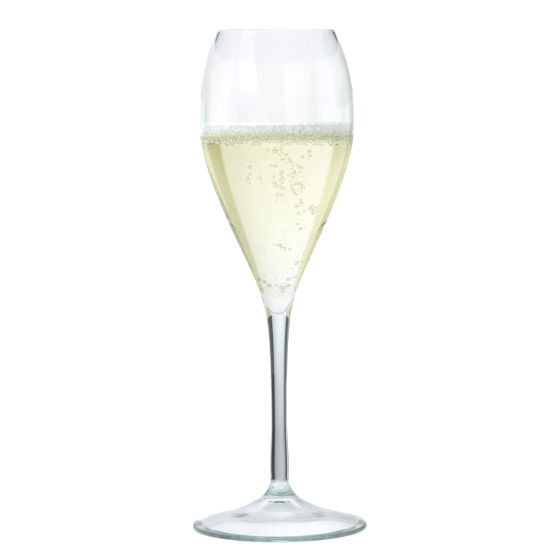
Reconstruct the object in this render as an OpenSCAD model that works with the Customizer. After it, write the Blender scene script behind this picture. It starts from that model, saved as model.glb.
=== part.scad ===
// Champagne flute: a tulip bowl on a drawn stem and a spun conical foot, poured
// with champagne under a head of foam. Millimetres, +Z up. The origin is the
// centre of the ring that the foot stands on.

/* [Overall] */
// Height of the flute, foot to lip
flute_h = 200; // [185:1:225]

/* [Bowl] */
// Widest diameter of the bowl, outside
bowl_d = 62.5; // [54:0.5:72]
// Height of the widest place above the table
widest_h = 164; // [152:1:170]
// Diameter of the mouth, measured to the middle of the lip
mouth_d = 45.8; // [40:0.2:50]
// Thickness of the wall at the widest place
wall = 0.8; // [0.6:0.1:1.4]
// Thickness of the rounded lip
lip_t = 1.1; // [0.8:0.1:1.6]

/* [Stem] */
// Thinnest diameter of the stem
stem_d = 6.7; // [5.5:0.1:9]
// Height of the seam between the stem and the foot's neck
seam_h = 18.8; // [17:0.2:20]
// Diameter of the cup at the top of the stem
cup_d = 18.4; // [17:0.2:20]
// Height of the cup's edge
cup_h = 100; // [97:0.5:102]

/* [Foot] */
// Diameter of the foot
foot_d = 70.3; // [62:0.5:80]
// Thickness of the foot's rounded edge
edge_t = 1.9; // [1.4:0.1:2.6]
// Width of the flat ring that it stands on
ring_w = 3; // [1.5:0.5:5]

/* [Champagne] */
// Height of the champagne under the foam
level_h = 158; // [140:0.2:162]
// Thickness of the head of foam
foam_t = 4.6; // [1:0.2:6]

/* [Hidden] */
$fn = 96;
steps = 9;          // straight bands between two stations
arc_steps = 8;      // straight bands round a small rounding
bubble_fn = 24;
glass_tint = [0.84, 0.91, 0.93, 0.4];
bowl_r = bowl_d / 2;
mouth_r = mouth_d / 2;
lip_r = lip_t / 2;
lip_heading = 115;  // the wall leans in at the mouth
stem_r = stem_d / 2;
cup_r = cup_d / 2;
foot_r = foot_d / 2;
edge_r = edge_t / 2;
edge_heading = -15.5;
edge_centre = [foot_r - edge_r, edge_r];
floor_h = 86.5;     // lowest point of the hollow in the bowl
floor_r = 2.2;      // rounding of the hollow's end
seat_t = 1.3;       // glass between the hollow's end and the stem's cup
seat_edge = 0.5;    // blunt edge of the cup
flank_heading = 67; // of the hollow where its rounded end begins
stem_end_r = 0.35;  // rounding of the stem's lower end
neck_end_r = 0.25;  // rounding of the neck's upper end
film = 0.05;        // champagne left between a bubble and the glass

// A station is [radius, height, heading]. The heading is the way the outline
// runs there, in degrees: 0 is outwards and 90 is up.

// Point at share t between two stations: a cubic that leaves the first and
// meets the second along their headings, each pulled by the chord's length.
function between(a, b, t) =
    let (chord = norm([b[0] - a[0], b[1] - a[1]]))
    let (leave = chord * (t - 2 * t * t + t * t * t))
    let (meet = chord * (t * t * t - t * t))
    let (done = 3 * t * t - 2 * t * t * t)
    [
        a[0] + (b[0] - a[0]) * done + leave * cos(a[2]) + meet * cos(b[2]),
        a[1] + (b[1] - a[1]) * done + leave * sin(a[2]) + meet * sin(b[2])
    ];

// Outline through a list of stations, without its last point
function run(stations) = [
    for (i = [0:len(stations) - 2], k = [0:steps - 1])
        between(stations[i], stations[i + 1], k / steps)
];

// Arc about a centre from one angle to another, both ends included
function arc(centre, r, start, end) = [
    for (k = [0:arc_steps])
        let (a = start + (end - start) * k / arc_steps)
        centre + r * [cos(a), sin(a)]
];

function backwards(points) = [for (i = [len(points) - 1:-1:0]) points[i]];

// Outside of the bowl above the stem's cup, ending where the lip begins
lip_centre = [mouth_r, flute_h - lip_r];
lip_side = lip_r * [sin(lip_heading), -cos(lip_heading)];
rise = widest_h - cup_h;
bowl_outside = [
    [cup_r, cup_h, 66.2],
    [0.692 * bowl_r, cup_h + 0.43 * rise, 67.4],
    [0.937 * bowl_r, cup_h + 0.77 * rise, 75.5],
    [bowl_r, widest_h, 90],
    [0.943 * bowl_r, (widest_h + flute_h) / 2, 101.8],
    [lip_centre[0] + lip_side[0], lip_centre[1] + lip_side[1], lip_heading]
];

// Inside of the bowl, from its rounded end up to the lip
floor_centre = [0, floor_h + floor_r];
floor_end = floor_centre + floor_r * [sin(flank_heading), -cos(flank_heading)];
bowl_inside = [
    [floor_end[0], floor_end[1], flank_heading],
    [0.58 * cup_r, cup_h - 4, 66],
    [0.358 * bowl_r, cup_h + 0.125 * rise, 64.5],
    [0.692 * bowl_r - 1.5 * wall, cup_h + 0.43 * rise, 67.4],
    [0.937 * bowl_r - 1.15 * wall, cup_h + 0.77 * rise, 75.5],
    [bowl_r - wall, widest_h, 90],
    [0.943 * bowl_r - 1.15 * wall, (widest_h + flute_h) / 2, 101.8],
    [lip_centre[0] - lip_side[0], lip_centre[1] - lip_side[1], lip_heading]
];
hollow = concat(
    arc(floor_centre, floor_r, -90, flank_heading - 90),
    [for (i = [1:len(run(bowl_inside)) - 1]) run(bowl_inside)[i]]
);

// Where the bowl sits in the stem, from the middle up to the cup's edge
seat_centre = [0, floor_h + floor_r];
seat_r = floor_r + seat_t;
seat_end = seat_centre + seat_r * [sin(flank_heading), -cos(flank_heading)];
seat_flank = [
    [seat_end[0], seat_end[1], flank_heading],
    [cup_r - seat_edge, cup_h, 65]
];
seat = concat(
    arc(seat_centre, seat_r, -90, flank_heading - 90),
    [for (i = [1:steps - 1]) run(seat_flank)[i]],
    [[cup_r - seat_edge, cup_h]]
);

// Outside of the stem, from its rounded lower end to the cup's edge
stem_foot_r = stem_r + 0.45;
stem_outside = [
    [stem_foot_r, seam_h + stem_end_r, 92],
    [stem_r + 0.57, seam_h + 5.7, 90],
    [stem_r, 43, 90],
    [stem_r + 0.19, 62, 88.3],
    [stem_r + 1.53, 84, 82.9],
    [cup_r, cup_h, 66.2]
];

// Upper side of the foot, from the neck's rounded end out to the edge
neck_r = stem_r + 0.35;
spread = foot_r - neck_r;
edge_start = edge_centre + edge_r * [-sin(edge_heading), cos(edge_heading)];
foot_top = [
    [neck_r, seam_h - neck_end_r, -90],
    [neck_r + 0.9, seam_h - 2.5, -69],
    [neck_r + 0.092 * spread, 0.707 * seam_h, -45],
    [neck_r + 0.204 * spread, 0.564 * seam_h, -31.5],
    [neck_r + 0.423 * spread, 0.386 * seam_h, -21.5],
    [neck_r + 0.725 * spread, 0.22 * seam_h, -16],
    [edge_start[0], edge_start[1], edge_heading]
];

// Underside of the foot, from the standing ring in to the middle
underside = [
    [foot_r - edge_r - ring_w, 0, 165],
    [0.6 * foot_r, 0.15 * seam_h, 164],
    [0.33 * foot_r, 0.31 * seam_h, 157],
    [0.16 * foot_r, 0.46 * seam_h, 150],
    [0, 0.52 * seam_h, 180]
];

// Radius of the hollow at a height
hollow_radius_at = [for (p = hollow) [p[1], p[0]]];
function hollow_r(h) = lookup(h, hollow_radius_at);

// Bubbles on their way up, as [across, deep, up, diameter]. Across and deep are
// shares of the hollow's radius there, and up is a share of the champagne's depth.
rising = [
    [-0.02, -0.30, 0.933, 1.9], [0.32, 0.10, 0.933, 1.3], [-0.31, -0.20, 0.850, 1.5],
    [-0.32, 0.15, 0.798, 1.4], [-0.22, -0.35, 0.788, 1.5], [-0.02, 0.10, 0.861, 1.3],
    [0.05, -0.05, 0.830, 1.4], [0.06, 0.12, 0.793, 1.4], [-0.03, -0.10, 0.767, 1.6],
    [0.02, 0.20, 0.757, 1.3], [0.07, -0.12, 0.736, 1.4], [0.05, 0.05, 0.705, 1.5],
    [0.10, -0.25, 0.913, 1.2], [0.14, 0.05, 0.881, 1.2], [0.19, -0.20, 0.819, 1.5],
    [0.25, 0.05, 0.850, 1.4], [0.23, -0.10, 0.762, 1.5], [0.28, 0.20, 0.747, 1.4],
    [0.19, 0.00, 0.726, 1.3], [0.33, -0.15, 0.653, 1.3], [0.44, 0.10, 0.632, 1.3],
    [0.52, -0.10, 0.611, 1.1], [0.29, 0.05, 0.601, 1.2], [0.40, -0.20, 0.505, 1.2],
    [0.04, 0.10, 0.415, 1.2], [0.15, -0.15, 0.395, 1.1], [0.49, 0.05, 0.300, 1.2],
    [0.41, -0.20, 0.208, 1.4], [-0.07, 0.10, 0.173, 1.1], [0.36, 0.10, 0.168, 1.1]
];

// Bubbles held by the glass, as [azimuth, up, diameter]
clinging = [
    [198, 0.29, 1.5], [205, 0.205, 1.5], [236, 0.17, 1.7], [190, 0.15, 1.2],
    [310, 0.17, 1.2], [165, 0.13, 1.1], [290, 0.135, 1.3], [40, 0.24, 1.3],
    [75, 0.16, 1.2], [120, 0.2, 1.4]
];

// Bubbles held under the foam, in a sunflower's spiral
surface_count = 16;
surface_d = 1.3;
golden_angle = 137.508;

module glass() { color(glass_tint) rotate_extrude() children(); }

module bowl() {
    glass() polygon(concat(
        seat,
        run(bowl_outside),
        arc(lip_centre, lip_r, lip_heading - 90, lip_heading + 90),
        backwards(hollow)
    ));
}

module stem() {
    inner = stem_foot_r - stem_end_r;
    glass() polygon(concat(
        [[0, seam_h]],
        arc([inner, seam_h + stem_end_r], stem_end_r, -90, 0),
        [for (i = [1:len(run(stem_outside)) - 1]) run(stem_outside)[i]],
        [[cup_r, cup_h]],
        backwards(seat)
    ));
}

module foot() {
    inner = neck_r - neck_end_r;
    glass() polygon(concat(
        [[0, seam_h]],
        arc([inner, seam_h - neck_end_r], neck_end_r, 90, 0),
        [for (i = [1:len(run(foot_top)) - 1]) run(foot_top)[i]],
        arc(edge_centre, edge_r, edge_heading + 90, -90),
        run(underside),
        [[0, underside[4][1]]]
    ));
}

// The hollow of the bowl between two heights
module poured(low, high) {
    intersection() {
        rotate_extrude() polygon(concat(hollow, [[0, hollow[len(hollow) - 1][1]]]));
        translate([0, 0, low]) cylinder(h = high - low, r = bowl_d);
    }
}

module place_rising() {
    for (b = rising) {
        h = floor_h + b[2] * (level_h - floor_h);
        r = hollow_r(h);
        translate([b[0] * r, b[1] * r, h]) sphere(d = b[3], $fn = bubble_fn);
    }
}

module place_clinging() {
    for (b = clinging) {
        h = floor_h + b[1] * (level_h - floor_h);
        r = hollow_r(h) - 0.56 * b[2] - film;
        rotate([0, 0, b[0]]) translate([r, 0, h]) sphere(d = b[2], $fn = bubble_fn);
    }
}

module place_surface() {
    for (i = [1:surface_count]) {
        r = 0.93 * hollow_r(level_h) * sqrt(i / surface_count);
        rotate([0, 0, i * golden_angle]) translate([r, 0, level_h - surface_d / 2 - film])
            sphere(d = surface_d, $fn = bubble_fn);
    }
}

module champagne() {
    color([0.93, 0.9, 0.62, 0.6]) difference() {
        poured(floor_h - 1, level_h);
        place_rising();
        place_clinging();
        place_surface();
    }
}

module foam_head() { color([0.93, 0.94, 0.93]) poured(level_h, level_h + foam_t); }
module rising_bubbles() { color([1, 1, 0.95, 0.5]) place_rising(); }
module clinging_bubbles() { color([1, 1, 0.95, 0.5]) place_clinging(); }
module surface_bubbles() { color([1, 1, 0.95, 0.5]) place_surface(); }

bowl();
stem();
foot();
champagne();
foam_head();
rising_bubbles();
clinging_bubbles();
surface_bubbles();
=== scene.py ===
# %% [markdown]
# # A flute of champagne
# A tulip champagne flute is three pieces of clear glass: a blown bowl, a stem
# drawn out of a hot gather, and a spun foot. In it stand pale champagne, a head
# of foam and rising bubbles. Everything here is round about one axis, so nearly
# every piece is one outline carried once round that axis.
# This script loads the measured solids as a fixed frame, works out smoother
# surfaces over them, and gives each its finish.

# %% Load the frame
import bpy
import math
import numpy as np
from mathutils import Matrix, Vector


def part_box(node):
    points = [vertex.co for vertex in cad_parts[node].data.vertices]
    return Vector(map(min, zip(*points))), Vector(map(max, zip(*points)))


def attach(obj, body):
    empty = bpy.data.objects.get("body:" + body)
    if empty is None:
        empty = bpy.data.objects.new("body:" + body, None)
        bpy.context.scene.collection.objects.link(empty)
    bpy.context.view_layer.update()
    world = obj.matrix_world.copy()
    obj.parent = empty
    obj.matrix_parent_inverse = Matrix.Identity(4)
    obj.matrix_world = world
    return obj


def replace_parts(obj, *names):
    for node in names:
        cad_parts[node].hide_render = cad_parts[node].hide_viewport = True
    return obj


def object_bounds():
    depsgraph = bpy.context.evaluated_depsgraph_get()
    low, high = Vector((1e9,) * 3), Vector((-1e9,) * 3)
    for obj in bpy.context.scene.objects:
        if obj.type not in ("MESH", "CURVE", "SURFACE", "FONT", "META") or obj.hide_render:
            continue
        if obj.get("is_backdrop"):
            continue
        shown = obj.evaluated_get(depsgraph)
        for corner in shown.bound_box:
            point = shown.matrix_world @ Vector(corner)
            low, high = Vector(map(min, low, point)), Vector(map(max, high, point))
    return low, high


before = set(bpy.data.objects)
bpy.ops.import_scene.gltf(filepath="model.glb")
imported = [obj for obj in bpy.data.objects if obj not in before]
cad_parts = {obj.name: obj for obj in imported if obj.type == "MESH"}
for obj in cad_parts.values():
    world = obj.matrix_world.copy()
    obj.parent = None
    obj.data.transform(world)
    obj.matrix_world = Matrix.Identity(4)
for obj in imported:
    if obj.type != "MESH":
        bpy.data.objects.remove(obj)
cad_low, cad_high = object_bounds()
MM = 0.001
flute_h = cad_high.z / MM
foot_d = (cad_high.x - cad_low.x) / MM
print(f"frame: {flute_h:.1f} mm high, foot {foot_d:.1f} mm across")


# %% [markdown]
# ## Measures
# The driving sizes are read off the solids where a box can give them. The rest
# are the maker's own numbers, in millimetres, the same ones that the solids
# were drawn with, so the smooth surfaces follow the solids when a size changes.

# %% Sizes taken from the frame
def width_of(node):
    """Widest size of a solid across X, in millimetres."""
    low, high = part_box(node)
    return (high.x - low.x) / MM


def top_of(node):
    """Highest point of a solid, in millimetres."""
    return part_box(node)[1].z / MM


bowl_r = width_of("bowl") / 2
cup_r = width_of("stem") / 2
cup_h = top_of("stem")
seam_h = top_of("foot")
foot_r = width_of("foot") / 2
level_h = top_of("champagne")
foam_h = top_of("foam_head")
floor_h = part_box("champagne")[0].z / MM
print(f"bowl {2 * bowl_r:.1f} wide, cup edge at {cup_h:.1f}, seam at {seam_h:.1f}")
print(f"champagne from {floor_h:.1f} to {level_h:.1f}, foam up to {foam_h:.1f}")

# %% The maker's own numbers
widest_h = 164.0        # height of the widest place
mouth_r = 22.9          # to the middle of the lip
wall = 0.8              # glass at the widest place
lip_r = 0.55            # rounding of the lip
lip_heading = 115.0     # the wall leans in at the mouth
stem_r = 3.35           # where the stem is thinnest
edge_r = 0.95           # rounding of the foot's edge
edge_heading = -15.5
ring_w = 3.0            # flat ring that the foot stands on
floor_r = 2.2           # rounding of the hollow's end
seat_t = 1.3            # glass under the hollow, down to the stem
seat_edge = 0.5         # blunt edge of the stem's cup
flank_heading = 67.0
stem_end_r = 0.35
neck_end_r = 0.25
print(f"the wall is {wall} mm thick, the lip {2 * lip_r:.1f} and the stem {2 * stem_r:.1f}")


# %% [markdown]
# ## One curve for every outline
# Glass flows, so its outlines have no corners. Each outline is a list of
# stations: a radius, a height, and the heading that the outline has there. A
# cubic joins each pair and leaves along one heading and arrives along the
# other, so neighbours share their slope. A Bezier curve object would do the
# same, but as plain arrays the points can be measured and reused.

# %% Outline and arc
def outline(stations, steps=20):
    """Points through stations (radius, height, heading in degrees).
    At share t between two stations, s = 3t^2 - 2t^3 blends their places, and
    the headings, each as long as the chord, are added with the weights
    t - 2t^2 + t^3 and t^3 - t^2. The last station closes the list."""
    st = np.asarray(stations, float)
    a, b = st[:-1, None, :], st[1:, None, :]
    t = (np.arange(steps) / steps)[None, :, None]
    chord = np.linalg.norm(b[..., :2] - a[..., :2], axis=2, keepdims=True)
    way = lambda s: np.concatenate(
        [np.cos(np.radians(s[..., 2:])), np.sin(np.radians(s[..., 2:]))], axis=2
    )
    s = 3 * t**2 - 2 * t**3
    points = a[..., :2] + (b[..., :2] - a[..., :2]) * s
    points = points + chord * (way(a) * (t - 2 * t**2 + t**3) + way(b) * (t**3 - t**2))
    return np.vstack([points.reshape(-1, 2), st[-1, :2]])


def arc(centre, r, start, end, steps=12):
    """Points on a circle: centre + r (cos a, sin a), for a from start to end."""
    a = np.radians(np.linspace(start, end, steps + 1))
    return np.asarray(centre) + r * np.stack([np.cos(a), np.sin(a)], axis=1)


def square_to(heading, r):
    """A step of length r to the right of a heading."""
    a = math.radians(heading)
    return r * np.array([math.sin(a), -math.cos(a)])


# %% [markdown]
# ## Turning an outline into a closed skin
# A lathe surface is the grid point(i, j) = (r_i cos a_j, r_i sin a_j, z_i). An
# outline that starts and ends on the axis closes by itself: its end points
# become two poles. Each band between two rings can carry its own index of
# refraction, which is how one bowl can meet air, champagne and the stem.

# %% Mesh helpers
def new_object(name, mesh, materials):
    """A shown object at the origin, holding a finished mesh."""
    for material in materials:
        mesh.materials.append(material)
    obj = bpy.data.objects.new(name, mesh)
    bpy.context.scene.collection.objects.link(obj)
    return obj


def mesh_from(name, points_mm, faces, sharp=35):
    """A smooth mesh from points in millimetres and faces as a list of index
    arrays. Edges over sharp degrees keep a crease."""
    mesh = bpy.data.meshes.new(name)
    flat = [row for group in faces for row in group.tolist()]
    mesh.from_pydata((points_mm * MM).tolist(), [], flat)
    mesh.polygons.foreach_set("use_smooth", np.ones(len(flat), bool))
    mesh.set_sharp_from_angle(angle=math.radians(sharp))
    mesh.update()
    return mesh


def lathe(name, points, index=None, turns=224):
    """Carries an outline of (radius, height) rows once round the axis. The
    first and last rows lie on the axis. Ring i, column j is
    (r cos a, r sin a, z) with a = 2 pi j / turns. index gives each band's
    index of refraction, kept on its faces."""
    rings = points[1:-1]
    a = 2 * np.pi * np.arange(turns) / turns
    grid = np.stack([
        rings[:, :1] * np.cos(a), rings[:, :1] * np.sin(a),
        np.repeat(rings[:, 1:], turns, axis=1)
    ], axis=2).reshape(-1, 3)
    poles = np.array([[0, 0, points[0, 1]], [0, 0, points[-1, 1]]])
    i, j = np.meshgrid(np.arange(len(rings) - 1), np.arange(turns), indexing="ij")
    k = (j + 1) % turns
    quads = np.stack([
        i * turns + j, i * turns + k, (i + 1) * turns + k, (i + 1) * turns + j
    ], axis=2).reshape(-1, 4)
    j, k = np.arange(turns), (np.arange(turns) + 1) % turns
    first, last = len(grid), len(grid) + 1
    top = (len(rings) - 1) * turns
    fan_a = np.stack([np.full(turns, first), k, j], axis=1)
    fan_b = np.stack([top + j, top + k, np.full(turns, last)], axis=1)
    mesh = mesh_from(name, np.vstack([grid, poles]), [quads, fan_a, fan_b])
    if index is not None:
        values = np.concatenate([
            np.repeat(index[1:-1], turns), np.full(turns, index[0]),
            np.full(turns, index[-1])
        ])
        layer = mesh.attributes.new("index", "FLOAT", "FACE")
        layer.data.foreach_set("value", values.astype(np.float32))
    return mesh


def farthest_from(node, points):
    """How far the solid's own corners lie from an outline, in millimetres: each
    corner's (radius, height) against the nearest stretch of the outline."""
    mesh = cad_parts[node].data
    co = np.zeros(len(mesh.vertices) * 3)
    mesh.vertices.foreach_get("co", co)
    co = np.unique(co.reshape(-1, 3).round(6), axis=0) / MM
    corners = np.stack([np.hypot(co[:, 0], co[:, 1]), co[:, 2]], axis=1)
    a, b = points[:-1], points[1:]
    along = b - a
    span = np.maximum((along**2).sum(1), 1e-12)
    worst = 0.0
    for part in np.array_split(corners, max(1, len(corners) // 400)):
        t = ((part[:, None] - a) * along).sum(2) / span
        gap = part[:, None] - (a + np.clip(t, 0, 1)[..., None] * along)
        worst = max(worst, float(np.linalg.norm(gap, axis=2).min(1).max()))
    return worst


# %% [markdown]
# ## Outlines of the three glass pieces
# The bowl's skin runs from the bottom of its seat in the stem, up its outside,
# over the lip, and down the inside to the rounded end of the hollow.

# %% Bowl outline
rise = widest_h - cup_h
lip_centre = np.array([mouth_r, flute_h - lip_r])
lip_side = square_to(lip_heading, lip_r)
bowl_outside = outline([
    (cup_r, cup_h, 66.2),
    (0.692 * bowl_r, cup_h + 0.43 * rise, 67.4),
    (0.937 * bowl_r, cup_h + 0.77 * rise, 75.5),
    (bowl_r, widest_h, 90),
    (0.943 * bowl_r, (widest_h + flute_h) / 2, 101.8),
    (*(lip_centre + lip_side), lip_heading),
])
floor_centre = np.array([0, floor_h + floor_r])
bowl_inside = outline([
    (*(floor_centre + square_to(flank_heading, floor_r)), flank_heading),
    (0.58 * cup_r, cup_h - 4, 66),
    (0.358 * bowl_r, cup_h + 0.125 * rise, 64.5),
    (0.692 * bowl_r - 1.5 * wall, cup_h + 0.43 * rise, 67.4),
    (0.937 * bowl_r - 1.15 * wall, cup_h + 0.77 * rise, 75.5),
    (bowl_r - wall, widest_h, 90),
    (0.943 * bowl_r - 1.15 * wall, (widest_h + flute_h) / 2, 101.8),
    (*(lip_centre - lip_side), lip_heading),
])
hollow = np.vstack([
    arc(floor_centre, floor_r, -90, flank_heading - 90)[:-1], bowl_inside
])
level_row = np.searchsorted(hollow[:, 1], level_h)
level_r = np.interp(level_h, hollow[:, 1], hollow[:, 0])
hollow = np.insert(hollow, level_row, (level_r, level_h), axis=0)
print(f"bowl: {len(bowl_outside)} points outside, {len(hollow)} inside; "
      f"the champagne stands {2 * level_r:.1f} mm wide")

# %% Seat, stem and foot outlines
seat_r = floor_r + seat_t
seat = np.vstack([
    arc(floor_centre, seat_r, -90, flank_heading - 90)[:-1],
    outline([
        (*(floor_centre + square_to(flank_heading, seat_r)), flank_heading),
        (cup_r - seat_edge, cup_h, 65),
    ]),
])
stem_foot_r = stem_r + 0.45
stem_side = outline([
    (stem_foot_r, seam_h + stem_end_r, 92),
    (stem_r + 0.57, seam_h + 5.7, 90),
    (stem_r, 43, 90),
    (stem_r + 0.19, 62, 88.3),
    (stem_r + 1.53, 84, 82.9),
    (cup_r, cup_h, 66.2),
])
stem_end = arc((stem_foot_r - stem_end_r, seam_h + stem_end_r), stem_end_r, -90, 0)
neck_r = stem_r + 0.35
spread = foot_r - neck_r
edge_centre = np.array([foot_r - edge_r, edge_r])
neck_end = arc((neck_r - neck_end_r, seam_h - neck_end_r), neck_end_r, 90, 0)
foot_top = outline([
    (neck_r, seam_h - neck_end_r, -90),
    (neck_r + 0.9, seam_h - 2.5, -69),
    (neck_r + 0.092 * spread, 0.707 * seam_h, -45),
    (neck_r + 0.204 * spread, 0.564 * seam_h, -31.5),
    (neck_r + 0.423 * spread, 0.386 * seam_h, -21.5),
    (neck_r + 0.725 * spread, 0.22 * seam_h, -16),
    (*(edge_centre - square_to(edge_heading, edge_r)), edge_heading),
])
foot_edge = arc(edge_centre, edge_r, edge_heading + 90, -90, 18)
underside = outline([
    (foot_r - edge_r - ring_w, 0, 165),
    (0.6 * foot_r, 0.15 * seam_h, 164),
    (0.33 * foot_r, 0.31 * seam_h, 157),
    (0.16 * foot_r, 0.46 * seam_h, 150),
    (0, 0.52 * seam_h, 180),
])
print(f"the hollow under the foot rises to {underside[-1, 1]:.1f} mm")


# %% [markdown]
# ## Finishes
# Clear glass is seen only by what it bends and what it takes away. A Principled
# shader with full transmission bends the light, and the faint colour comes from
# Volume Absorption inside the piece, so thick places and long edges turn
# blue-green, as they do in window glass. A tinted surface would be simpler, but
# it colours thin and thick glass alike.

# %% Material helpers
GLASS_IOR = 1.52
CHAMPAGNE_IOR = 1.345


def new_material(name):
    """An empty node tree with its output: (material, tree, output)."""
    material = bpy.data.materials.new(name)
    material.use_nodes = True
    tree = material.node_tree
    tree.nodes.clear()
    return material, tree, tree.nodes.new("ShaderNodeOutputMaterial")


def add(tree, kind, **values):
    """A node with values set on its input sockets by name."""
    node = tree.nodes.new(kind)
    for key, value in values.items():
        node.inputs[key.replace("_", " ")].default_value = value
    return node


def absorb(tree, out, colour, density):
    """Fills the piece with plain Volume Absorption: light keeps
    exp(-(1 - colour) * density * metres) of each channel."""
    volume = add(tree, "ShaderNodeVolumeAbsorption", Color=(*colour, 1), Density=density)
    tree.links.new(volume.outputs[0], out.inputs["Volume"])


def ripple(tree, scale, strength, distance):
    """A faint unevenness, as fire-polished glass has: Noise on the Object
    coordinates, turned into a bump."""
    place = tree.nodes.new("ShaderNodeTexCoord")
    noise = add(tree, "ShaderNodeTexNoise", Scale=scale, Detail=2.0, Roughness=0.4)
    bump = add(tree, "ShaderNodeBump", Strength=strength, Distance=distance)
    tree.links.new(place.outputs["Object"], noise.inputs["Vector"])
    tree.links.new(noise.outputs["Fac"], bump.inputs["Height"])
    return bump.outputs["Normal"]


# %% Glass
GLASS_KEEPS = (0.5, 0.72, 0.76)
GLASS_DENSITY = 16.0


def glass_finish(name, scale, unevenness):
    """Clear glass with a blue-green body. Its index of refraction is read off
    the faces, so one finish serves glass against air, glass against champagne,
    and the hot seams, which light crosses unbent."""
    material, tree, out = new_material(name)
    glass = add(tree, "ShaderNodeBsdfPrincipled", Roughness=0.0, IOR=GLASS_IOR)
    glass.inputs["Transmission Weight"].default_value = 1.0
    glass.inputs["Base Color"].default_value = (1, 1, 1, 1)
    read = tree.nodes.new("ShaderNodeAttribute")
    read.attribute_name = "index"
    tree.links.new(read.outputs["Fac"], glass.inputs["IOR"])
    tree.links.new(ripple(tree, scale, unevenness, 0.0004), glass.inputs["Normal"])
    tree.links.new(glass.outputs[0], out.inputs["Surface"])
    absorb(tree, out, GLASS_KEEPS, GLASS_DENSITY)
    return material


# %% Champagne and gas
WINE_KEEPS = (1.0, 0.985, 0.25)
WINE_DENSITY = 7.2

material, tree, out = new_material("pale_champagne")
clear = add(tree, "ShaderNodeBsdfPrincipled", Roughness=0.0, IOR=1.0)
clear.inputs["Transmission Weight"].default_value = 1.0
clear.inputs["Base Color"].default_value = (1, 1, 1, 1)
tree.links.new(clear.outputs[0], out.inputs["Surface"])
absorb(tree, out, WINE_KEEPS, WINE_DENSITY)
champagne_finish = material

material, tree, out = new_material("bubble_gas")
gas = add(tree, "ShaderNodeBsdfGlass", IOR=1 / CHAMPAGNE_IOR, Roughness=0.0)
tree.links.new(gas.outputs[0], out.inputs["Surface"])
gas_finish = material

# %% [markdown]
# Foam is white where it is dry and takes the wine's olive tint where it stands
# in the wine. Voronoi cells draw the bubbles, with painted shade greying the walls
# between them, and a ramp over the height multiplies the tint in. Foam also
# carries light through itself. Tracing that would take thousands of bounces, so a
# faint painted glow stands for it, strongest towards -X, the side that the light
# comes from, and fixed to the foam.

# %% Foam
CELL_SCALE = 1250.0     # cells in a metre
SOAKED = 3.2            # height over which the foam dries, in millimetres
PAINTED_GLOW = 0.62
material, tree, out = new_material("champagne_foam")
place = tree.nodes.new("ShaderNodeTexCoord")
split = tree.nodes.new("ShaderNodeSeparateXYZ")
tree.links.new(place.outputs["Object"], split.inputs["Vector"])

# Painted shade: the ramp greys the walls between the bubble cells and leaves their middles near
# white.
cells = add(tree, "ShaderNodeTexVoronoi", Scale=CELL_SCALE)
tone = tree.nodes.new("ShaderNodeValToRGB")
tone.color_ramp.elements[0].color = (0.98, 0.98, 0.97, 1)
tone.color_ramp.elements[1].color = (0.68, 0.72, 0.72, 1)
tone.color_ramp.elements[0].position = 0.3
tone.color_ramp.elements[1].position = 0.8
tree.links.new(place.outputs["Object"], cells.inputs["Vector"])
tree.links.new(cells.outputs["Distance"], tone.inputs["Fac"])

height = add(
    tree, "ShaderNodeMapRange", From_Min=level_h * MM, From_Max=(level_h + SOAKED) * MM
)
soaked = tree.nodes.new("ShaderNodeValToRGB")
soaked.color_ramp.elements[0].color = (0.76, 0.74, 0.45, 1)
soaked.color_ramp.elements[1].color = (1, 1, 1, 1)
both = tree.nodes.new("ShaderNodeVectorMath")
both.operation = "MULTIPLY"
tree.links.new(split.outputs["Z"], height.inputs["Value"])
tree.links.new(height.outputs["Result"], soaked.inputs["Fac"])
tree.links.new(tone.outputs["Color"], both.inputs[0])
tree.links.new(soaked.outputs["Color"], both.inputs[1])

# Painted light: the glow is strongest towards -X and dims to 0.56 towards +X, fixed to the foam
# whatever the lighting.
across = add(
    tree, "ShaderNodeMapRange", From_Min=-0.4 * level_r * MM,
    From_Max=0.8 * level_r * MM, To_Min=1.0, To_Max=0.56
)
carried = tree.nodes.new("ShaderNodeVectorMath")
carried.operation = "SCALE"
tree.links.new(split.outputs["X"], across.inputs["Value"])
tree.links.new(both.outputs["Vector"], carried.inputs[0])
tree.links.new(across.outputs["Result"], carried.inputs["Scale"])

bump = add(tree, "ShaderNodeBump", Strength=0.6, Distance=0.0002)
bump.invert = True
tree.links.new(cells.outputs["Distance"], bump.inputs["Height"])

froth = add(tree, "ShaderNodeBsdfPrincipled", Roughness=0.3, IOR=1.34, Emission_Strength=PAINTED_GLOW)
tree.links.new(both.outputs["Vector"], froth.inputs["Base Color"])
tree.links.new(carried.outputs["Vector"], froth.inputs["Emission Color"])
tree.links.new(bump.outputs["Normal"], froth.inputs["Normal"])
tree.links.new(froth.outputs[0], out.inputs["Surface"])
foam_finish = material
print("finishes: champagne, bubble gas and foam")


# %% [markdown]
# ## The three glass pieces
# Each is one outline turned on the lathe. Glass against champagne bends light
# less than glass against air, by the ratio of the two indices, and the seams
# bend nothing, so each band of faces carries its own index.

# %% Bowl
lip = arc(lip_centre, lip_r, lip_heading - 90, lip_heading + 90, 16)
bowl_skin = np.vstack([seat, bowl_outside, lip[1:-1], hollow[::-1]])
middle = (bowl_skin[:-1, 1] + bowl_skin[1:, 1]) / 2
row = np.arange(len(middle))
in_seat = row < len(seat)
wet = (row >= len(seat) + len(bowl_outside) + len(lip) - 2) & (middle < level_h)
bowl_index = np.where(in_seat, 1.0, np.where(wet, GLASS_IOR / CHAMPAGNE_IOR, GLASS_IOR))
bowl = new_object(
    "blown_bowl", lathe("blown_bowl", bowl_skin, bowl_index),
    [glass_finish("bowl_glass", 55, 0.05)]
)
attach(bowl, "root")
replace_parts(bowl, "bowl")
print(f"bowl: {len(bowl.data.polygons)} faces, the solid lies within "
      f"{farthest_from('bowl', bowl_skin):.3f} mm of it")

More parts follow.
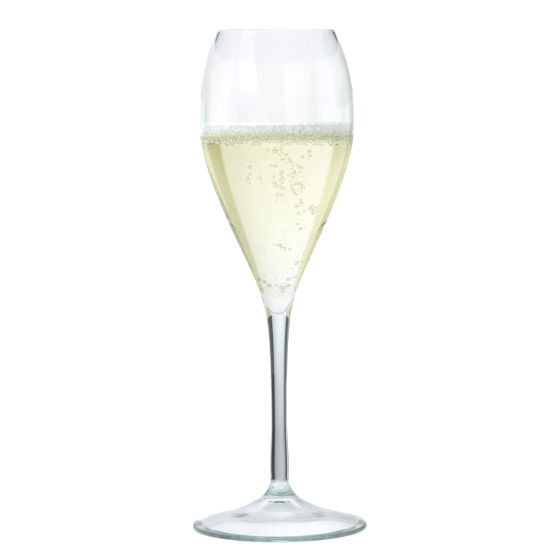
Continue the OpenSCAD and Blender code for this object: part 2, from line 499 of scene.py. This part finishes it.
# %% Stem
SEAM_GAP = 0.01         # keeps the two faces of a seam from lying in one place
stem_skin = np.vstack([
    [(0, seam_h)], stem_end, stem_side[1:], seat[::-1] - (0, SEAM_GAP)
])
stem_skin[-1, 0] = 0
row = np.arange(len(stem_skin) - 1)
fused = (row == 0) | (row >= len(stem_end) + len(stem_side) - 1)
stem = new_object(
    "drawn_stem", lathe("drawn_stem", stem_skin, np.where(fused, 1.0, GLASS_IOR), 160),
    [glass_finish("stem_glass", 90, 0.05)]
)
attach(stem, "root")
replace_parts(stem, "stem")
print(f"stem: {len(stem.data.polygons)} faces, the solid lies within "
      f"{farthest_from('stem', stem_skin):.3f} mm of it")

# %% Foot
foot_skin = np.vstack([
    [(0, seam_h)], neck_end, foot_top[1:], foot_edge[1:], underside
])[::-1]
fused = np.arange(len(foot_skin) - 1) >= len(foot_skin) - 2
foot_skin[-2:, 1] -= SEAM_GAP
foot = new_object(
    "spun_foot", lathe("spun_foot", foot_skin, np.where(fused, 1.0, GLASS_IOR)),
    [glass_finish("foot_glass", 60, 0.05)]
)
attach(foot, "root")
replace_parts(foot, "foot")
print(f"foot: {len(foot.data.polygons)} faces, the solid lies within "
      f"{farthest_from('foot', foot_skin):.3f} mm of it")


# %% [markdown]
# ## Champagne
# The champagne's skin lies a hair inside the bowl's, and bends no light of its
# own: the bowl's wetted inside already has the right index between glass and
# wine. What it adds is colour, by absorption along the way through it.

# %% Champagne
FILM = 0.02             # how far inside the bowl's skin it lies
filled = hollow[: level_row + 1]
champagne_skin = np.vstack([filled + (0, FILM), [(0, level_h + FILM)]])
champagne_skin[1:-1, 0] -= FILM
champagne = new_object(
    "poured_champagne", lathe("poured_champagne", champagne_skin), [champagne_finish]
)
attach(champagne, "root")
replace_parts(champagne, "champagne")
print(f"champagne: {len(champagne.data.polygons)} faces, {level_h - floor_h:.1f} mm deep")


# %% [markdown]
# ## Foam
# Foam is thousands of small bubbles pressed together, each a little dome at the
# surface. Sculpting them would be slow, so a rule does it: space is cut into
# cells, each cell holds one point at random, and a place on the skin stands out
# by a dome over the nearest point. The same rule in three dimensions covers the
# top, the side and the underside with no seam.

# %% Cell domes
def hashed(cell, salt):
    """A repeatable number from 0 to 1 for each whole-number cell (x, y, z)."""
    mixed = (cell[..., 0] * 73856093) ^ (cell[..., 1] * 19349663)
    mixed = mixed ^ (cell[..., 2] * 83492791) ^ (salt * 2654435761)
    mixed = (mixed ^ (mixed >> 13)) * 1274126177
    return ((mixed ^ (mixed >> 16)) & 0xFFFF) / 65535.0


def domes(points, size, salt):
    """Height from 0 to 1 of domes over random points, one in each cube of that
    size: sqrt(1 - (d / reach)^2) for the distance d to the nearest point."""
    place = points / size
    home = np.floor(place).astype(np.int64)
    nearest = np.full(len(points), 9.0)
    steps = [(x, y, z) for x in (-1, 0, 1) for y in (-1, 0, 1) for z in (-1, 0, 1)]
    for step in steps:
        cell = home + np.array(step)
        centre = cell + np.stack([hashed(cell, salt + k) for k in (1, 2, 3)], axis=-1)
        nearest = np.minimum(nearest, np.linalg.norm(place - centre, axis=1))
    return np.sqrt(np.clip(1 - (nearest / 0.8) ** 2, 0, 1))


# %% Foam head
foam_top = foam_h - 0.02
side_r = level_r - 0.03
FLAT_RINGS, SIDE_RINGS, FOAM_TURNS = 72, 20, 480
flat_r = side_r * np.linspace(0, 1, FLAT_RINGS + 2)[1:-1]
foam_profile = np.vstack([
    [(0, level_h)],
    np.stack([flat_r, np.full(FLAT_RINGS, level_h)], axis=1),
    np.stack([np.full(SIDE_RINGS, side_r), np.linspace(level_h, foam_top, SIDE_RINGS)], axis=1),
    np.stack([flat_r[::-1], np.full(FLAT_RINGS, foam_top)], axis=1),
    [(0, foam_top)]
])
foam_mesh = lathe("foam_mousse", foam_profile, turns=FOAM_TURNS)
co = np.zeros(len(foam_mesh.vertices) * 3)
normal = np.zeros(len(foam_mesh.vertices) * 3)
foam_mesh.vertices.foreach_get("co", co)
foam_mesh.vertices.foreach_get("normal", normal)
co, normal = co.reshape(-1, 3) / MM, normal.reshape(-1, 3)
swell = 0.22 * domes(co, 0.75, 11) + 0.08 * domes(co, 0.4, 23) - 0.3
against_glass = np.hypot(co[:, 0], co[:, 1]) > side_r - 0.01
swell = np.where(against_glass, 0.8 * swell, swell)
co = co + normal * swell[:, None]
foam_mesh.vertices.foreach_set("co", (co * MM).ravel())
foam_mesh.update()
foam = new_object("foam_mousse", foam_mesh, [foam_finish])
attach(foam, "root")
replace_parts(foam, "foam_head")
print(f"foam: {len(foam_mesh.polygons)} faces")


# %% [markdown]
# ## Bubbles
# The larger bubbles stand where the solids have them, so their centres and
# sizes are measured off the solids. Each is a slightly flattened ball. In the
# wine a bubble is the lens turned round: gas inside, liquid outside, so its
# index is one over the wine's, and its edge mirrors what lies beside it.

# %% Measure the bubbles of a solid
def balls_of(node):
    """Centre and radius of each separate ball in a node. Corners that share a
    triangle take the lowest label among them until nothing changes, so each
    ball ends with one label; its box then gives centre and radius."""
    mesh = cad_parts[node].data
    co = np.zeros(len(mesh.vertices) * 3)
    mesh.vertices.foreach_get("co", co)
    mesh.calc_loop_triangles()
    tri = np.zeros(len(mesh.loop_triangles) * 3, np.int64)
    mesh.loop_triangles.foreach_get("vertices", tri)
    spots, merged = np.unique(co.reshape(-1, 3).round(6), axis=0, return_inverse=True)
    tri = merged.ravel()[tri].reshape(-1, 3)
    label = np.arange(len(spots))
    while True:
        lowest = label[tri].min(axis=1)
        new = label.copy()
        np.minimum.at(new, tri.ravel(), np.repeat(lowest, 3))
        if (new == label).all():
            break
        label = new
    names, which = np.unique(label, return_inverse=True)
    low = np.full((len(names), 3), np.inf)
    high = np.full((len(names), 3), -np.inf)
    np.minimum.at(low, which, spots)
    np.maximum.at(high, which, spots)
    return (low + high) / 2 / MM, (high - low).max(axis=1) / 2 / MM


def ball(across, rings):
    """A unit ball on a grid of angles: corners and faces. Corner (i, j) is
    (sin u cos v, sin u sin v, cos u)."""
    u = np.pi * np.arange(1, rings) / rings
    v = 2 * np.pi * np.arange(across) / across
    grid = np.stack([
        np.outer(np.sin(u), np.cos(v)), np.outer(np.sin(u), np.sin(v)),
        np.repeat(np.cos(u)[:, None], across, axis=1)
    ], axis=2).reshape(-1, 3)
    corners = np.vstack([grid, [(0, 0, 1), (0, 0, -1)]])
    i, j = np.meshgrid(np.arange(rings - 2), np.arange(across), indexing="ij")
    k = (j + 1) % across
    quads = np.stack([
        i * across + j, (i + 1) * across + j, (i + 1) * across + k, i * across + k
    ], axis=2).reshape(-1, 4)
    j, k = np.arange(across), (np.arange(across) + 1) % across
    last = (rings - 2) * across
    caps = np.stack([np.full(across, len(grid)), j, k], axis=1)
    base = np.stack([np.full(across, len(grid) + 1), last + k, last + j], axis=1)
    return corners, quads, np.vstack([caps, base])


def scatter(name, centres, radii, across=16, rings=10, squash=0.94):
    """One mesh of many balls: each unit ball scaled by its radius, a little
    flatter than wide, and moved to its centre."""
    corners, quads, tris = ball(across, rings)
    size = radii[:, None, None] * np.array([1, 1, squash])
    points = (corners[None] * size + centres[:, None]).reshape(-1, 3)
    shift = (np.arange(len(centres)) * len(corners))[:, None, None]
    faces = [(quads[None] + shift).reshape(-1, 4), (tris[None] + shift).reshape(-1, 3)]
    mesh = mesh_from(name, points, faces, sharp=180)
    obj = new_object(name, mesh, [gas_finish])
    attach(obj, "root")
    print(f"{name}: {len(centres)} bubbles, {len(mesh.polygons)} faces")
    return obj


# %% The larger bubbles
measured = {}
for node, name in (
    ("rising_bubbles", "bubbles_rising"),
    ("clinging_bubbles", "bubbles_on_glass"),
    ("surface_bubbles", "bubbles_under_foam"),
):
    measured[node] = balls_of(node)
    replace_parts(scatter(name, *measured[node], across=24, rings=14), node)


# %% [markdown]
# ## Fine bubbles
# Three crowds fill the gaps: companions that travel with the larger bubbles,
# specks all through the drink, and a collar of packed bubbles against the glass
# right under the foam. The collar is what gives the foam its grainy, olive lower
# edge. Its bubbles stand in rows round the wall, each shifted a little, and
# fewer of them in each lower row.

# %% Keeping bubbles apart
CLEAR = 0.04            # least gap between two bubbles, in millimetres


def apart(centres, radii, others, other_radii):
    """Which balls stand clear of all the others: those for which every
    distance is more than the two radii and a hair together."""
    gap = np.linalg.norm(centres[:, None] - others[None], axis=2)
    return (gap > radii[:, None] + other_radii[None] + CLEAR).all(axis=1)


def kept_apart(centres, radii, taken, taken_radii):
    """Keeps each ball that clears the balls in place and those kept before it."""
    keep = apart(centres, radii, taken, taken_radii)
    centres, radii = centres[keep], radii[keep]
    gap = np.linalg.norm(centres[:, None] - centres[None], axis=2)
    close = gap < radii[:, None] + radii[None] + CLEAR
    first = ~np.tril(close, -1).any(axis=1)
    return centres[first], radii[first]


# %% Companions and specks
random = np.random.default_rng(7)
COMPANIONS, SPECKS = 110, 520
taken = np.vstack([measured[node][0] for node in measured])
taken_r = np.concatenate([measured[node][1] for node in measured])
parents, parent_r = measured["rising_bubbles"]
pick = random.integers(0, len(parents), COMPANIONS)
way = random.normal(size=(COMPANIONS, 3)) * (1, 1, 1.5)
way /= np.linalg.norm(way, axis=1, keepdims=True)
own_r = random.uniform(0.28, 0.62, COMPANIONS)
reach = parent_r[pick] + own_r + random.uniform(0.08, 1.6, COMPANIONS)
centres, radii = kept_apart(parents[pick] + way * reach[:, None], own_r, taken, taken_r)
scatter("bubbles_companions", centres, radii, across=18, rings=11)
taken, taken_r = np.vstack([taken, centres]), np.concatenate([taken_r, radii])

share = random.uniform(0.1, 0.985, SPECKS)
height = floor_h + share * (level_h - floor_h)
room = np.interp(height, hollow[:, 1], hollow[:, 0]) - 0.4
turn = random.uniform(0, 2 * np.pi, SPECKS)
off = room * np.sqrt(random.uniform(0, 1, SPECKS))
specks = np.stack([off * np.cos(turn), off * np.sin(turn), height], axis=1)
speck_r = random.uniform(0.06, 0.2, SPECKS)
centres, radii = kept_apart(specks, speck_r, taken, taken_r)
scatter("bubbles_specks", centres, radii, across=10, rings=6)

# %% Collar under the foam
collar, collar_r = [], []
for layer, inward in enumerate((0.42, 1.2)):
    for row, chance in enumerate((0.97, 0.8, 0.3)):
        around = 226 - 8 * layer
        size = random.uniform(0.26, 0.37, around)
        down = 0.32 + 0.66 * row + random.uniform(-0.1, 0.1, around)
        ring_r = np.interp(level_h - down, hollow[:, 1], hollow[:, 0]) - inward
        turn = 2 * np.pi * (np.arange(around) + 0.5 * (row % 2)) / around
        turn = turn + random.uniform(-0.0015, 0.0015, around)
        spots = np.stack([
            ring_r * np.cos(turn), ring_r * np.sin(turn), level_h - down
        ], axis=1)
        here = random.uniform(0, 1, around) < chance
        collar.append(spots[here])
        collar_r.append(size[here])
centres, radii = kept_apart(np.vstack(collar), np.concatenate(collar_r), taken, taken_r)
scatter("bubbles_collar", centres, radii, across=10, rings=7)


# %% [markdown]
# ## The studio
# Clear glass shows its surroundings, so the room is half the picture. Glass is
# lit from behind by a bright sheet, and dark cards at its sides draw its edges.
# Here the room is a large dome that only glass sees: bright windows all round
# with duller stretches between. A few cards stand nearer, where a small piece
# such as the stem or the lip needs its own surroundings. Lamps could light the
# glass too, but clear glass would show them only as small bright spots.
# The floor and the open air round it are plain white, as in a catalogue.
# Azimuth runs clockwise seen from above, from 0 at the far side of the glass.

# %% Helpers for the room
def smooth_step(x, low, high):
    """0 below low, 1 above high, and 3t^2 - 2t^3 between."""
    t = np.clip((x - low) / (high - low), 0, 1)
    return t * t * (3 - 2 * t)


def blend(a, b, share):
    """a where share is 0, b where it is 1."""
    share = np.asarray(share)[..., None]
    return np.asarray(a) * (1 - share) + np.asarray(b) * share


def round_card(name, r, azimuth, height, light):
    """A card bent round the axis: point (i, j) is (r sin a, r cos a, height_i)
    for the azimuth a. r and azimuth may differ from row to row. light, one
    colour for each point, is what it gives off. It lights no matt thing and
    shows only in glass."""
    aa = np.radians(np.broadcast_to(azimuth, (len(height), np.shape(azimuth)[-1])))
    zz = np.broadcast_to(np.reshape(height, (-1, 1)), aa.shape)
    rr = np.broadcast_to(np.reshape(r, (-1, 1)), aa.shape)
    points = np.stack([rr * np.sin(aa), rr * np.cos(aa), zz], axis=2).reshape(-1, 3)
    rows, columns = aa.shape
    i, j = np.meshgrid(np.arange(rows - 1), np.arange(columns - 1), indexing="ij")
    faces = np.stack([
        i * columns + j, i * columns + j + 1, (i + 1) * columns + j + 1, (i + 1) * columns + j
    ], axis=2).reshape(-1, 4)
    mesh = mesh_from(name, points, [faces])
    layer = mesh.attributes.new("light", "FLOAT_COLOR", "POINT")
    colour = np.ones((rows * columns, 4))
    colour[:, :3] = light.reshape(-1, 3)
    layer.data.foreach_set("color", colour.ravel())
    card = new_object(name, mesh, [room_finish])
    card.visible_camera = False
    card.visible_diffuse = False
    card.visible_shadow = False
    card.visible_volume_scatter = False
    card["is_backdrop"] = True
    return card


room_finish, tree, out = new_material("room_light")
read = tree.nodes.new("ShaderNodeAttribute")
read.attribute_name = "light"
glow = add(tree, "ShaderNodeEmission", Strength=1.0)
tree.links.new(read.outputs["Color"], glow.inputs["Color"])
tree.links.new(glow.outputs[0], out.inputs["Surface"])
room_finish.cycles.emission_sampling = "NONE"


# %% [markdown]
# ### Dome
# The bowl full of wine is a strong lens: its middle shows the windows straight
# behind it, and its edges show what stands more than 28 degrees to the side. So
# the stretches between the windows are olive where the wine looks at them, from
# 8 degrees up, and grey-green lower down, where the empty bowl does.

# %% Dome
WINDOW_HALF = 28.0      # degrees from a window's middle to its edge
OLIVE_LEFT, OLIVE_RIGHT = (0.70, 0.69, 0.50), (0.50, 0.48, 0.26)
STRAW_LEFT, STRAW_RIGHT = (0.90, 0.90, 0.74), (0.66, 0.64, 0.42)
GREY_LEFT, GREY_RIGHT = (0.86, 0.88, 0.89), (0.36, 0.46, 0.49)
LOW_LEFT, LOW_RIGHT = (0.97, 0.99, 1.0), (0.84, 0.89, 0.92)
SKY, GROUND = (1.0, 1.0, 1.0), (0.9, 0.94, 0.95)
VIEWER_SIDE = (0.42, 0.47, 0.49)


def from_window(azimuth, elevation):
    """Degrees from the middle of the nearest window. The windows stand at the
    quarter turns, and at the eighths below -4 degrees, where steeper views
    look."""
    level_view = (azimuth + 45) % 90 - 45
    steep_view = (azimuth + 90) % 90 - 45
    return np.where(elevation < -4, steep_view, level_view)


def window_light(off, wet, up):
    """A window's light dims to its right. Where wine looks at it, it is a
    little bluer and duller: level (1 - 0.06 wet + 0.09 wet up)."""
    level = np.interp(off, [-28, 0, 6, 12, 20, 28], [1.01, 1.0, 0.97, 0.93, 0.86, 0.82])
    blue = np.interp(off, [-20, 0, 10, 20, 28], [1.06, 1.05, 1.02, 0.96, 0.92])
    blue = 1.02 + (blue - 1.02) * wet
    level = level * (1 + wet * (-0.06 + 0.09 * up))
    return np.stack([level, level, level * blue], axis=-1)


def dome_light(azimuth, elevation):
    """Light of the dome: windows and the stretches between them, blended from
    low to high, then the sky, the ground, and a dim stretch behind the viewer
    that keeps veils of light off the bowl."""
    off = from_window(azimuth, elevation)
    wet = smooth_step(elevation, 4, 8)
    up = smooth_step(elevation, 9, 21)
    low = smooth_step(-elevation, 4, 7)
    left = blend(GREY_LEFT, blend(OLIVE_LEFT, STRAW_LEFT, up), wet)
    right = blend(GREY_RIGHT, blend(OLIVE_RIGHT, STRAW_RIGHT, up), wet)
    left, right = blend(left, LOW_LEFT, low), blend(right, LOW_RIGHT, low)
    between = blend(left, right, smooth_step(off, -3, 3))
    edge = smooth_step(np.abs(off), WINDOW_HALF - 2.5, WINDOW_HALF + 0.5)
    light = blend(window_light(off, wet, up), between, edge)
    sky = blend(SKY, VIEWER_SIDE, smooth_step(np.abs(azimuth), 80, 100))
    light = blend(light, sky, smooth_step(elevation, 32, 38))
    light = blend(light, GROUND, smooth_step(-elevation, 38, 44))
    turn = azimuth % 360
    behind = smooth_step(turn, 164, 170) * smooth_step(-turn, -262, -246)
    return blend(light, VIEWER_SIDE, behind * smooth_step(elevation, -30, -26))


DOME_R = 3000
azimuth = np.linspace(-180, 180, 361)
elevation = np.linspace(-89.5, 89.5, 180)
aa, ee = np.meshgrid(azimuth, elevation)
round_card(
    "studio_dome", DOME_R * np.cos(np.radians(elevation)), azimuth,
    DOME_R * np.sin(np.radians(elevation)), dome_light(aa, ee)
)
print(f"dome: {DOME_R / 1000:.0f} m in radius")

# %% [markdown]
# ### Cards round the stem
# A glass rod bends what stands behind it to its middle and what stands beside
# it to its edges. So a grey sheet behind the stem gives the pale middle, and
# dark cards on both sides give the stripes. Steeper views look past the first
# set, so a second set stands further out and lower.

# %% Cards round the stem
SHEET_R = 150
SHEET_HEIGHTS = [-12, 0, 12, 32, 52, 72, 98]
SHEET_LEVELS = [0.66, 0.56, 0.56, 0.68, 0.8, 0.92, 1.0]
BROWN, SLATE = (0.034, 0.022, 0.022), (0.06, 0.07, 0.077)


def sheet_light(off, height):
    """Light of a grey sheet behind the stem, darker lower down and to its
    right: level(z) (1.03 - 0.00066 (off + 5)^2)."""
    centre = np.interp(height, SHEET_HEIGHTS, SHEET_LEVELS)
    level = centre * (1.03 - 0.00066 * (off + 5) ** 2)
    return level[..., None] * np.array([0.95, 1.0, 1.02])


def plain_card(name, r, az_from, az_to, low, high, colour, columns=24):
    """A card of one tone, from one azimuth and height to another, that shows
    through glass but isn't mirrored by it."""
    azimuth = np.linspace(az_from, az_to, columns)
    light = np.broadcast_to(np.asarray(colour), (2, columns, 3))
    card = round_card(name, r, azimuth, np.array([low, high], float), light)
    card.visible_glossy = False


for view, facing, wide in (("front", 0, 50), ("side", -90, 34)):
    azimuth = np.linspace(-27, 21, 60)
    height = np.linspace(-12, 98, 30)
    off, zz = np.meshgrid(azimuth, height)
    sheet = round_card(
        f"sheet_{view}", SHEET_R, azimuth + facing, height, sheet_light(off, zz)
    )
    sheet.visible_glossy = False
    for part, r, low, high in (("upper", SHEET_R, 32, 100), ("lower", 300, -55, 22)):
        plain_card(f"dark_{view}_left_{part}", r, facing + 21, facing + wide, low, high, BROWN)
        plain_card(f"dark_{view}_right_{part}", r, facing - 46, facing - 27, low, high, SLATE)
plain_card("dark_back_left", SHEET_R, 157, 181, -62, 60, BROWN)
plain_card("dark_back_right", SHEET_R, 89, 108, -62, 60, SLATE)
plain_card("dark_high_left", 500, -23, 3, -260, -114, BROWN)
plain_card("dark_high_right", 500, -91, -72, -260, -114, SLATE)

# %% Shades round the lip
SHADE = (0.08, 0.11, 0.12)
shade_low, shade_high = flute_h + 6, flute_h + 36
plain_card("canopy", [1, 75], -180, 180, shade_high, shade_high, SHADE, 90)
plain_card("lip_shade", 60, -180, 180, shade_low, shade_high, SHADE, 90)

# %% [markdown]
# ### What the bowl mirrors
# A tall window behind the viewer's left shoulder gives the upright highlight.
# The bowl narrows towards its mouth, so the window leans the other way and
# opens upwards. Two flags, seen by reflections only, tone the bowl's edges.

# %% Tall window and flags
WINDOW_ROWS, WINDOW_COLUMNS = 24, 10
climb = np.linspace(0, 1, WINDOW_ROWS)
azimuth = np.linspace(207.0 + 29 * climb, 237.0 + 39 * climb, WINDOW_COLUMNS).T
round_card(
    "tall_window", 1500.0, azimuth, 526 + 1574 * climb,
    np.full((WINDOW_ROWS, WINDOW_COLUMNS, 3), 1.7)
)

FLAG_POINTS = 12
for name, side, colour in (
    ("flag_right", 1, (0.22, 0.33, 0.36)),
    ("flag_left", -1, (0.62, 0.68, 0.7)),
):
    flag = round_card(
        name, 400.0, side * np.linspace(24, 86, FLAG_POINTS),
        np.linspace(185, 420, FLAG_POINTS),
        np.broadcast_to(np.array(colour), (FLAG_POINTS, FLAG_POINTS, 3))
    )
    flag.visible_transmission = False
print("cards: sheets, dark cards, shades, a tall window and two flags")

# %% Floor and open air
FLOOR_HALF = 4000
corners = np.array([(-1, -1, 0), (1, -1, 0), (1, 1, 0), (-1, 1, 0)], float)
floor_mesh = mesh_from("floor", FLOOR_HALF * corners, [np.array([[0, 1, 2, 3]])])
material, tree, out = new_material("pale_floor")
paper = add(tree, "ShaderNodeBsdfDiffuse", Roughness=0.5)
paper.inputs["Color"].default_value = (0.9, 0.9, 0.9, 1)
tree.links.new(paper.outputs[0], out.inputs["Surface"])
floor = new_object("floor", floor_mesh, [material])
floor.visible_glossy = False
floor.visible_transmission = False
floor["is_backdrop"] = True

world = bpy.data.worlds.new("open_air")
world.use_nodes = True
air = world.node_tree.nodes["Background"]
air.inputs["Color"].default_value = (1, 1, 1, 1)
air.inputs["Strength"].default_value = 1.5
scene = bpy.context.scene
scene.world = world
scene.view_settings.view_transform = "Standard"

# %% Bounces
# Light crosses up to a dozen skins of glass, wine and bubbles, and as many again
# where it is turned back inside a piece.
scene.cycles.max_bounces = 28
scene.cycles.transmission_bounces = 28
scene.cycles.glossy_bounces = 16
scene.cycles.transparent_max_bounces = 32


# %% [markdown]
# ## Camera
# A long lens from a metre away, a little lower than the lip, so the lip shows as
# a line and the foot as a flat oval. The camera is tilted by under half a degree.

# %% Camera
camera_data = bpy.data.cameras.new("camera")
camera_data.sensor_width = 36.0
camera_data.lens = 162.5
camera_data.clip_start = 0.01
camera = bpy.data.objects.new("camera", camera_data)
scene.collection.objects.link(camera)
camera_away, camera_up = 1.010, 0.1835
aim_up, aim_side = 0.1, 0.0008
camera_roll = -0.0075   # radians
camera.location = (0, -camera_away, camera_up)
look = Vector((aim_side, 0, aim_up)) - camera.location
camera.rotation_mode = "QUATERNION"
turn_to = look.to_track_quat("-Z", "Y").to_matrix()
camera.rotation_quaternion = (turn_to @ Matrix.Rotation(camera_roll, 3, "Z")).to_quaternion()
scene.camera = camera

# %% Sizes
low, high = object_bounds()
